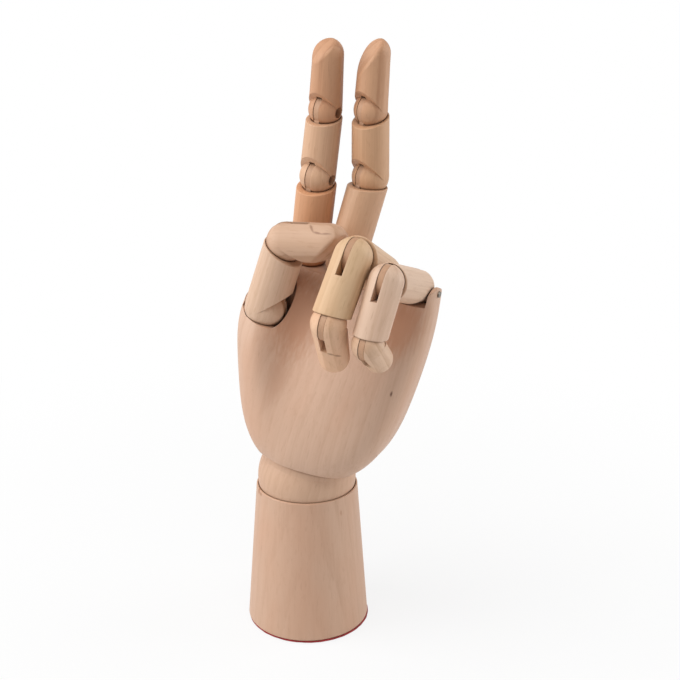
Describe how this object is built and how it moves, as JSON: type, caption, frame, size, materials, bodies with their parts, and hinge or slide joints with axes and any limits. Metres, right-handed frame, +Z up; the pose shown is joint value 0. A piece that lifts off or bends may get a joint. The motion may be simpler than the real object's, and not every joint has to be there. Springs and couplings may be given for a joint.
{
  "type": "jointed wooden hand mannequin",
  "caption": "Jointed wooden left hand for drawing, on a turned forearm stand: hinged finger and thumb segments, sprung ball wrist, posed with index and middle finger raised.",
  "frame": {"origin": "centre of the felt disc under the stand, on the table", "axes": "+Z up the stand's axis; the palm faces -Y; the thumb is on the -X side"},
  "size_m": [0.086, 0.0727, 0.2544],
  "materials": {
    "stand_wood": "sanded, unvarnished",
    "palm_wood": "sanded, unvarnished",
    "finger_wood": "sanded, unvarnished",
    "yellow_wood": "sanded, unvarnished",
    "pale_wood": "sanded, unvarnished",
    "tongue_wood": "sanded, unvarnished",
    "red_felt": "felt",
    "steel": "drawn wire"
  },
  "bodies": {
    "forearm": {"forearm_base": "stand_wood", "base_felt_pad": "red_felt", "wrist_spring": "steel"},
    "wrist_bolt": {"wrist_eye_bolt": "steel", "bolt_nut": "steel", "spring_washer": "steel"},
    "wrist_axle": {"wrist_anchor_pin": "steel"},
    "hand": {"wrist_ball": "stand_wood", "palm": "palm_wood", "knuckle_rod": "steel", "thumb_root_tongue": "tongue_wood", "index_root_tongue": "tongue_wood", "middle_root_tongue": "tongue_wood", "ring_root_tongue": "tongue_wood", "little_root_tongue": "tongue_wood"},
    "thumb_lower": {"thumb_proximal": "pale_wood", "thumb_proximal_pin": "steel", "thumb_proximal_tongue": "tongue_wood"},
    "thumb_upper": {"thumb_distal": "pale_wood", "thumb_distal_pin": "steel"},
    "index_lower": {"index_proximal": "finger_wood", "index_proximal_tongue": "tongue_wood"},
    "index_mid": {"index_middle": "finger_wood", "index_middle_pin": "steel", "index_middle_tongue": "tongue_wood"},
    "index_tip": {"index_distal": "finger_wood", "index_distal_pin": "steel"},
    "middle_lower": {"middle_proximal": "finger_wood", "middle_proximal_tongue": "tongue_wood"},
    "middle_mid": {"middle_middle": "finger_wood", "middle_middle_pin": "steel", "middle_middle_tongue": "tongue_wood"},
    "middle_tip": {"middle_distal": "finger_wood", "middle_distal_pin": "steel"},
    "ring_lower": {"ring_proximal": "yellow_wood", "ring_proximal_tongue": "tongue_wood"},
    "ring_mid": {"ring_middle": "yellow_wood", "ring_middle_pin": "steel", "ring_middle_tongue": "tongue_wood"},
    "ring_tip": {"ring_distal": "yellow_wood", "ring_distal_pin": "steel"},
    "little_lower": {"little_proximal": "pale_wood", "little_proximal_tongue": "tongue_wood"},
    "little_mid": {"little_middle": "pale_wood", "little_middle_pin": "steel", "little_middle_tongue": "tongue_wood"},
    "little_tip": {"little_distal": "pale_wood", "little_distal_pin": "steel"}
  },
  "joints": [
    {"name": "wrist_turn", "type": "hinge", "parent": "forearm", "child": "wrist_bolt", "pos_m": [0, 0, 0.069], "axis": [0, 0, 1], "range_deg": [-90, 90]},
    {"name": "wrist_tilt", "type": "hinge", "parent": "wrist_bolt", "child": "wrist_axle", "pos_m": [0, 0, 0.069], "axis": [0, 1, 0], "range_deg": [-28, 10]},
    {"name": "wrist_nod", "type": "hinge", "parent": "wrist_axle", "child": "hand", "pos_m": [0, 0, 0.069], "axis": [0.9885, 0, -0.1513], "range_deg": [-10, 26]},
    {"name": "index_knuckle", "type": "hinge", "parent": "hand", "child": "index_lower", "pos_m": [-0.00622, 0.01366, 0.16588], "axis": [0.9885, 0, -0.1513], "range_deg": [-14, 16]},
    {"name": "index_mid_hinge", "type": "hinge", "parent": "index_lower", "child": "index_mid", "pos_m": [-0.0023, 0.01423, 0.19823], "axis": [0.9905, -0.0692, -0.1186], "range_deg": [-7, 85]},
    {"name": "index_tip_hinge", "type": "hinge", "parent": "index_mid", "child": "index_tip", "pos_m": [0.00106, 0.01496, 0.22592], "axis": [-0.9905, 0.0692, 0.1186], "range_deg": [-79, 12]},
    {"name": "middle_knuckle", "type": "hinge", "parent": "hand", "child": "middle_lower", "pos_m": [0.01118, 0.01366, 0.16321], "axis": [0.9885, 0, -0.1513], "range_deg": [-4, 21]},
    {"name": "middle_mid_hinge", "type": "hinge", "parent": "middle_lower", "child": "middle_mid", "pos_m": [0.01715, 0.02395, 0.19836], "axis": [0.9595, -0.269, -0.0842], "range_deg": [-30, 61]},
    {"name": "middle_tip_hinge", "type": "hinge", "parent": "middle_mid", "child": "middle_tip", "pos_m": [0.01874, 0.02089, 0.22634], "axis": [-0.9595, 0.269, 0.0842], "range_deg": [-90, 2]},
    {"name": "ring_knuckle", "type": "hinge", "parent": "hand", "child": "ring_lower", "pos_m": [0.02818, 0.01366, 0.16061], "axis": [0.9885, 0, -0.1513], "range_deg": [-76, 15]},
    {"name": "ring_mid_hinge", "type": "hinge", "parent": "ring_lower", "child": "ring_mid", "pos_m": [0.03301, -0.01791, 0.17722], "axis": [0.9883, 0.0842, -0.1272], "range_deg": [-90, 2]},
    {"name": "ring_tip_hinge", "type": "hinge", "parent": "ring_mid", "child": "ring_tip", "pos_m": [0.03144, -0.03391, 0.15441], "axis": [-0.9883, -0.0842, 0.1272], "range_deg": [-21, 70]},
    {"name": "little_knuckle", "type": "hinge", "parent": "hand", "child": "little_lower", "pos_m": [0.04459, 0.01366, 0.1581], "axis": [0.9885, 0, -0.1513], "range_deg": [-84, 5]},
    {"name": "little_mid_hinge", "type": "hinge", "parent": "little_lower", "child": "little_mid", "pos_m": [0.04789, -0.01841, 0.16979], "axis": [0.992, 0.0622, -0.1095], "range_deg": [-91, 0]},
    {"name": "little_tip_hinge", "type": "hinge", "parent": "little_mid", "child": "little_tip", "pos_m": [0.04607, -0.02926, 0.14712], "axis": [-0.992, -0.0622, 0.1095], "range_deg": [-9, 82]},
    {"name": "thumb_base_hinge", "type": "hinge", "parent": "hand", "child": "thumb_lower", "pos_m": [-0.01458, -0.00759, 0.14562], "axis": [0.1269, -0.9913, -0.0344], "range_deg": [-3, 10]},
    {"name": "thumb_tip_hinge", "type": "hinge", "parent": "thumb_lower", "child": "thumb_upper", "pos_m": [-0.00422, -0.00729, 0.17516], "axis": [-0.1269, 0.9913, 0.0344], "range_deg": [-65, 4]}
  ]
}
